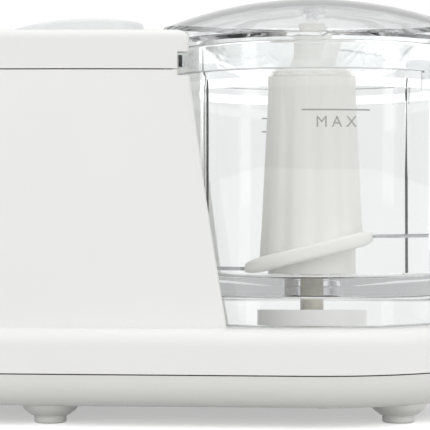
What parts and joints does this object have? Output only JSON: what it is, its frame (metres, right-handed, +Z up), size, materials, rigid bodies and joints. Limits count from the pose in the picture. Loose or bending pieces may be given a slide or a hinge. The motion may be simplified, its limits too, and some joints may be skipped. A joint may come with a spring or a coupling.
{
  "type": "food processor",
  "caption": "Small food processor with a side motor tower, a clear bowl with a turning blade, a clear domed lid and a pulse button.",
  "frame": {"origin": "under the middle of the object, on the surface its feet stand on", "axes": "+X from the motor tower to the bowl, +Y to the back, +Z up"},
  "size_m": [0.212, 0.118, 0.1411],
  "materials": {
    "white_abs": "satin gloss moulded ABS",
    "white_abs_lower": "satin gloss moulded ABS",
    "foot_rubber": "soft moulded pad",
    "zinc_steel": "zinc plated",
    "frosted_button": "frosted gloss",
    "clear_san": "clear moulded SAN",
    "natural_acetal": "natural acetal",
    "hub_white": "moulded polypropylene",
    "blade_steel": "ground stainless",
    "ground_steel": "ground",
    "bronze": "sintered bronze",
    "belt_rubber": "matte",
    "ferrite": "matte ferrite and carbon",
    "black_nylon": "moulded nylon",
    "copper_wire": "enamelled copper",
    "board_laminate": "phenolic laminate"
  },
  "bodies": {
    "housing": {"bottom_cover": "white_abs_lower", "bottom_cover_screws": "zinc_steel", "bridge_rectifier": "black_nylon", "button_spring": "zinc_steel", "capacitor": "black_nylon", "carbon_brushes": "ferrite", "cord_inlet_grommet": "foot_rubber", "drive_belt": "belt_rubber", "foot_pad_front_left": "foot_rubber", "foot_pad_front_right": "foot_rubber", "foot_pad_rear_left": "foot_rubber", "foot_pad_rear_right": "foot_rubber", "motor_bracket": "zinc_steel", "motor_bush_lower": "bronze", "motor_bush_upper": "bronze", "motor_can": "zinc_steel", "motor_damper": "belt_rubber", "motor_end_cap": "black_nylon", "motor_magnets": "ferrite", "motor_screws": "zinc_steel", "rectifier_board": "board_laminate", "spindle_bush_lower": "bronze", "spindle_bush_upper": "bronze", "switch_body": "black_nylon", "top_cover_screws": "zinc_steel", "tower_top_cover": "white_abs", "upper_housing": "white_abs"},
    "button": {"pulse_button": "frosted_button"},
    "switch_plunger": {"switch_plunger": "natural_acetal"},
    "interlock": {"interlock_slider": "natural_acetal"},
    "bowl": {"bowl": "clear_san"},
    "lid_pin": {"lid_bearing_pin": "clear_san"},
    "lid": {"lid_base": "clear_san", "lid_top": "clear_san"},
    "blade": {"blade_hub": "hub_white", "lower_blade": "blade_steel", "upper_blade": "blade_steel", "hub_drive_socket": "natural_acetal"},
    "spindle": {"spindle_shaft": "natural_acetal", "drive_head": "natural_acetal", "spindle_pulley": "natural_acetal", "spindle_clip": "zinc_steel"},
    "rotor": {"motor_shaft": "ground_steel", "armature_core": "zinc_steel", "armature_windings": "copper_wire", "commutator": "copper_wire", "cooling_fan": "black_nylon", "motor_pulley": "natural_acetal"}
  },
  "joints": [
    {"name": "motor_spin", "type": "hinge", "parent": "housing", "child": "rotor", "pos_m": [-0.044, 0, 0.06], "axis": [0, 0, 1], "continuous": true},
    {"name": "spindle_spin", "type": "hinge", "parent": "housing", "child": "spindle", "pos_m": [0.047, 0, 0.05], "axis": [0, 0, 1], "continuous": true},
    {"name": "bowl_lift", "type": "slide", "parent": "housing", "child": "bowl", "axis": [0, 0, 1], "range_m": [0, 0.12]},
    {"name": "blade_spin", "type": "hinge", "parent": "bowl", "child": "blade", "pos_m": [0.047, 0, 0.08], "axis": [0, 0, 1], "continuous": true},
    {"name": "lid_lift", "type": "slide", "parent": "bowl", "child": "lid_pin", "axis": [0, 0, 1], "range_m": [0, 0.06]},
    {"name": "lid_turn", "type": "hinge", "parent": "lid_pin", "child": "lid", "pos_m": [0.047, 0, 0.12], "axis": [0, 0, 1], "range_deg": [0, 30]},
    {"name": "button_press", "type": "slide", "parent": "housing", "child": "button", "axis": [0, 0, -1], "range_m": [0, 0.003], "stiffness_N_per_m": 400, "springref_m": -0.002, "deforming": ["button_spring"]},
    {"name": "plunger_press", "type": "slide", "parent": "housing", "child": "switch_plunger", "axis": [0, 0, -1], "range_m": [0, 0.003]},
    {"name": "interlock_press", "type": "slide", "parent": "housing", "child": "interlock", "axis": [0, 0, -1], "range_m": [0, 0.0025], "stiffness_N_per_m": 100, "springref_m": -0.001}
  ],
  "couplings": [
    {"joint": "spindle_spin", "follows": "motor_spin", "ratio": 0.2},
    {"joint": "blade_spin", "follows": "motor_spin", "ratio": 0.2},
    {"joint": "plunger_press", "follows": "button_press", "ratio": 1}
  ]
}
